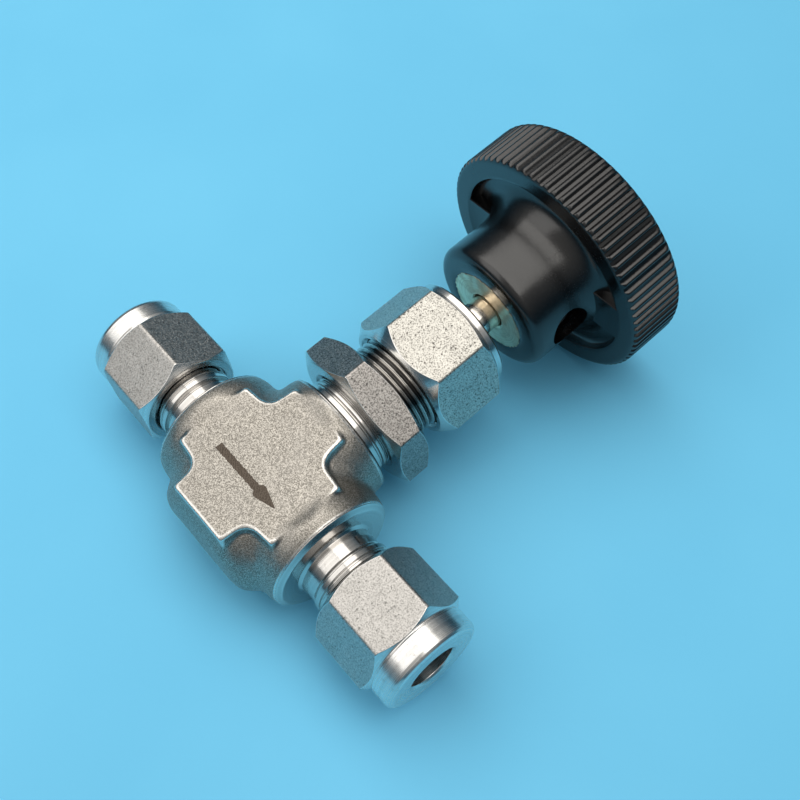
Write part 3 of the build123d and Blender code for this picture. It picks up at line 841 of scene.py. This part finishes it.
def turned_steel(name, axis, tone=(0.60, 0.58, 0.555), shine=0.12, lines=0.0016):
    """Polished turned steel: fine lines round the axis, on cylinders and faces, and painted shade
    darkening the thread grooves.
    """
    s = Shader(name, Metallic=1.0)
    along = s.node("ShaderNodeVectorMath", operation="DOT_PRODUCT", in0=s.place, in1=axis).outputs["Value"]
    mask = tuple(1.0 - abs(c) for c in axis)
    flat = s.node("ShaderNodeVectorMath", operation="MULTIPLY", in0=s.place, in1=mask)
    out = s.node("ShaderNodeVectorMath", operation="LENGTH", in0=flat).outputs["Value"]
    level = s.math("ADD", s.math("MULTIPLY", along, 1.31), out)
    fine, band = s.lines(level, 9.0, 3.0, 0.7), s.lines(level, 1.4, 1.0)
    smear = s.noise(0.45, 3)
    dirt = s.ramp(s.noise(1.9, 3), 0.60, 0.74)
    colour = s.mix(s.ramp(band, 0.3, 0.7), tuple(c * 0.86 for c in tone), tone)
    colour = s.mix(s.math("MULTIPLY", dirt, 0.35), colour, (0.34, 0.31, 0.28))
    # Painted shade: the deeper a point lies in a thread groove, the nearer its colour goes to black.
    depth = s.node("ShaderNodeAttribute", attribute_name="depth").outputs["Fac"]
    colour = s.mix(s.ramp(depth, 0.16, 0.44, 0, 0.88), colour, (0.045, 0.042, 0.04))
    gloss = s.ramp(fine, 0.3, 0.7, shine - 0.05, shine + 0.07)
    rough = s.math("ADD", gloss, s.ramp(smear, 0.35, 0.7, 0, 0.08))
    return s.set(Base_Color=colour, Roughness=rough, Normal=s.bump(fine, lines))


def phenolic():
    """Black thermoset moulding: glossy, with a fine leathery grain and dust-grey specks."""
    s = Shader("black_phenolic", IOR=1.62)
    fine, coarse, cloud = s.noise(3.2, 3, 0.6), s.noise(0.9, 2), s.noise(0.18, 2)
    colour = s.mix(s.ramp(fine, 0.35, 0.7), (0.0012, 0.0012, 0.0016), (0.0040, 0.0036, 0.0036))
    colour = s.mix(s.ramp(s.noise(7.0, 1), 0.68, 0.75, 0, 0.30), colour, (0.060, 0.055, 0.050))
    rough = s.math("ADD", s.ramp(fine, 0.3, 0.7, 0.17, 0.24), s.ramp(cloud, 0.35, 0.7, 0.0, 0.04))
    leather = s.bump(fine, 0.0060, s.bump(coarse, 0.008))
    return s.set(Base_Color=colour, Roughness=rough, Normal=s.bump(s.noise(5.5, 2), 0.0055, leather))


def brass():
    """Faced brass with arc-shaped tool marks and faint tarnish."""
    s = Shader("faced_brass", Metallic=1.0)
    flat = s.node("ShaderNodeVectorMath", operation="MULTIPLY", in0=s.place, in1=(1.0, 0.0, 1.0))
    out = s.node("ShaderNodeVectorMath", operation="LENGTH", in0=flat).outputs["Value"]
    marks = s.lines(out, 5.0, 3.0)
    tarnish = s.noise(0.7, 3)
    colour = s.mix(s.ramp(marks, 0.3, 0.7), (0.84, 0.66, 0.44), (1.0, 0.86, 0.62))
    colour = s.mix(s.ramp(tarnish, 0.42, 0.70, 0, 0.6), colour, (0.60, 0.50, 0.34))
    rough = s.ramp(tarnish, 0.3, 0.7, 0.30, 0.5)
    relief = s.bump(marks, 0.006, s.bump(tarnish, 0.02))
    return s.set(Base_Color=colour, Roughness=rough, Normal=relief)


def etched_mark():
    """Laser-darkened steel with fine slanted hatching."""
    s = Shader("etched_mark", Metallic=0.7)
    hatch = s.node(
        "ShaderNodeTexWave", Vector=s.place, Scale=1.4, Distortion=6.0, Detail=3.0,
        bands_direction="DIAGONAL",
    )
    fine = s.noise(7.5, 2)
    colour = s.mix(s.ramp(hatch, 0.2, 0.9, 0, 0.5), (0.050, 0.038, 0.028), (0.12, 0.095, 0.072))
    colour = s.mix(s.ramp(fine, 0.4, 0.66, 0, 0.55), colour, (0.19, 0.155, 0.125))
    rough = s.ramp(fine, 0.3, 0.7, 0.42, 0.6)
    return s.set(Base_Color=colour, Roughness=rough, Normal=s.bump(fine, 0.03))


def packing_white():
    """Skived PTFE: waxy white with faint rings."""
    s = Shader("packing_white", Subsurface_Weight=0.1)
    fine = s.noise(2.0, 3)
    colour = s.mix(s.ramp(fine, 0.3, 0.7), (0.80, 0.80, 0.78), (0.88, 0.88, 0.87))
    rough = s.ramp(fine, 0.3, 0.7, 0.35, 0.5)
    return s.set(Base_Color=colour, Roughness=rough, Normal=s.bump(fine, 0.004))


def oxide_black():
    """Black-oxide screw steel."""
    s = Shader("oxide_black", Metallic=0.85)
    fine = s.noise(5.0, 2)
    colour = s.mix(s.ramp(fine, 0.3, 0.7), (0.035, 0.034, 0.036), (0.09, 0.085, 0.08))
    rough = s.ramp(fine, 0.3, 0.7, 0.32, 0.45)
    return s.set(Base_Color=colour, Roughness=rough, Normal=s.bump(fine, 0.005))


def floor_paper():
    """A plain pale blue sheet with the faintest mottle."""
    s = Shader("floor_paper")
    cloud = s.noise(0.02, 3)
    grain = s.noise(0.6, 3)
    colour = s.mix(s.ramp(cloud, 0.3, 0.7), (0.160, 0.600, 0.905), (0.176, 0.630, 0.935))
    return s.set(Base_Color=colour, Roughness=0.75, Normal=s.bump(grain, 0.02))


# ---------------------------------------------------------------- assembly

def show(piece, body, slot, *nodes):
    """Rides a piece on its body and hides the nodes that it stands for; the slot argument is not used."""
    if nodes:
        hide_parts(*nodes)
    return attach(piece, body)


def dress(node, material):
    """Gives a carried-over node its procedural material."""
    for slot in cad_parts[node].material_slots:
        slot.material = material


ALONG_STEM, ALONG_FLOW = (0.0, 1.0, 0.0), (1.0, 0.0, 0.0)
blasted = blasted_steel()
neck_steel = turned_steel("turned_neck", ALONG_FLOW)
bonnet_steel = turned_steel("turned_bonnet", ALONG_STEM)
stem_steel = turned_steel("ground_stem", ALONG_STEM, (0.78, 0.74, 0.67), 0.10, 0.001)
tube_nut_flat = nut_flat_steel("tube_nut_flat", (0.545, 0.525, 0.50), (0.20, 0.195, 0.18), 0.25, 0.24)
packing_nut_flat = nut_flat_steel("packing_nut_flat", (0.61, 0.59, 0.54), (0.07, 0.063, 0.055), 0.50, 0.24)
panel_nut_flat = nut_flat_steel("panel_nut_flat", (0.46, 0.435, 0.41), (0.08, 0.075, 0.07), 0.60, 0.44)
flow_polish = turned_steel("flow_polish", ALONG_FLOW, (0.76, 0.75, 0.73), 0.20, 0.0014)
stem_polish = turned_steel("stem_polish", ALONG_STEM, (0.70, 0.69, 0.67), 0.13, 0.0012)
black = phenolic()
gold = brass()

show(forging([blasted]), "valve_body", "forged_steel", "body")
show(neck("inlet_neck", INLET_AXES, [neck_steel]), "valve_body", "polished_steel")
show(neck("outlet_neck", OUTLET_AXES, [neck_steel]), "valve_body", "polished_steel")
show(bonnet([bonnet_steel]), "valve_body", "polished_steel")
show(arrow([etched_mark()]), "valve_body", "forged_steel")
tube_nut_steels = [tube_nut_flat, flow_polish]
inlet_nut = tube_nut("inlet_coupling_nut", INLET_AXES, INLET_NUT_ANGLE, tube_nut_steels)
show(inlet_nut, "inlet_nut", "nut_steel", "inlet_nut")
outlet_nut = tube_nut("outlet_coupling_nut", OUTLET_AXES, OUTLET_NUT_ANGLE, tube_nut_steels)
show(outlet_nut, "outlet_nut", "nut_steel", "outlet_nut")
show(packing_nut([packing_nut_flat, stem_polish]), "packing_nut", "nut_steel", "packing_nut")
show(panel_nut([panel_nut_flat, stem_polish]), "panel_nut", "nut_steel", "panel_nut")
show(stem([stem_steel]), "spindle", "polished_steel", "stem")
show(handle([black]), "spindle", "phenolic", "handle")
show(insert([gold]), "spindle", "brass", "handle_insert")

white = packing_white()
for ring in ("lower_packing", "middle_packing", "upper_packing"):
    dress(ring, white)
for part in ("lower_gland", "upper_gland", "stem_tip"):
    dress(part, stem_steel)
for end in ("inlet", "outlet"):
    for part in ("front", "back"):
        dress(f"{end}_{part}_ferrule", flow_polish)
dress("set_screw", oxide_black())


# ---------------------------------------------------------------- floor, light and camera

def lay_floor():
    """A plain sheet under the rim's edge and the body's blind end, on which the valve lies tilted."""
    rim_y, rim_z = -50.2, -HANDLE_R
    body_y, body_z = 9.2, -FLAT_Z
    slope = (body_z - rim_z) / (body_y - rim_y)
    half = 700.0
    gap = 0.05
    corners = ((-half, -half), (half, -half), (half, half), (-half, half))
    points = [(x, y, rim_z + slope * (y - rim_y) - gap) for x, y in corners]
    floor = finish_mesh("floor", points, [(0, 1, 2, 3)], [floor_paper()], weighted=False)


def soft_light(name, place, size, watts, colour):
    """A rectangular area light that looks straight down."""
    lamp = bpy.data.lights.new(name, "AREA")
    lamp.shape = "RECTANGLE"
    lamp.size, lamp.size_y = (side * MM for side in size)
    lamp.energy = watts
    lamp.color = colour
    holder = bpy.data.objects.new(name, lamp)
    holder.location = Vector(place) * MM
    bpy.context.scene.collection.objects.link(holder)


def surroundings():
    """A sky that lights from dark blue at the horizon to pale grey above, seen as a plain pale blue."""
    world = bpy.data.worlds.new("studio")
    bpy.context.scene.world = world
    world.use_nodes = True
    tree = world.node_tree
    tree.nodes.clear()
    output = tree.nodes.new("ShaderNodeOutputWorld")
    seen, felt = tree.nodes.new("ShaderNodeBackground"), tree.nodes.new("ShaderNodeBackground")
    backdrop, horizon, zenith = (0.36, 0.66, 0.84, 1), (0.020, 0.070, 0.108, 1), (0.54, 0.53, 0.51, 1)
    seen.inputs[0].default_value = backdrop
    place = tree.nodes.new("ShaderNodeTexCoord")
    height, rise = tree.nodes.new("ShaderNodeSeparateXYZ"), tree.nodes.new("ShaderNodeMapRange")
    rise.interpolation_type = "SMOOTHSTEP"
    for name, level in (("From Min", 0.05), ("From Max", 0.95), ("To Min", 0.0), ("To Max", 1.0)):
        rise.inputs[name].default_value = level
    tree.links.new(place.outputs["Generated"], height.inputs[0])
    tree.links.new(height.outputs["Z"], rise.inputs["Value"])
    shade = tree.nodes.new("ShaderNodeMix")
    shade.data_type = "RGBA"
    shade.inputs[6].default_value = horizon
    shade.inputs[7].default_value = zenith
    tree.links.new(rise.outputs[0], shade.inputs[0])
    tree.links.new(shade.outputs[2], felt.inputs[0])
    path, choice = tree.nodes.new("ShaderNodeLightPath"), tree.nodes.new("ShaderNodeMixShader")
    tree.links.new(path.outputs["Is Camera Ray"], choice.inputs[0])
    tree.links.new(felt.outputs[0], choice.inputs[1])
    tree.links.new(seen.outputs[0], choice.inputs[2])
    tree.links.new(choice.outputs[0], output.inputs[0])


def place_camera():
    """Above the blind end, looking down along the valve towards the handle."""
    lens = bpy.data.cameras.new("camera")
    lens.sensor_width = 36.0
    lens.lens = 46.7
    lens.clip_start, lens.clip_end = 5 * MM, 5000 * MM
    camera = bpy.data.objects.new("camera", lens)
    right = Vector((-0.6554, -0.7492, -0.0961)).normalized()
    up = Vector((0.6451, -0.6213, 0.4448))
    up = (up - right * up.dot(right)).normalized()
    turn = Matrix((right, up, right.cross(up))).transposed()
    place = Vector((-57.51, 11.56, 125.75)) * MM
    camera.matrix_world = Matrix.Translation(place) @ turn.to_4x4()
    bpy.context.scene.collection.objects.link(camera)
    bpy.context.scene.camera = camera


lay_floor()
surroundings()
soft_light("overhead", (60, -135, 330), (640, 245), 0.95, (1.0, 0.975, 0.93))
soft_light("behind", (200, 205, 330), (350, 410), 0.60, (1.0, 0.98, 0.95))
place_camera()
bpy.context.scene.view_settings.view_transform = "Standard"
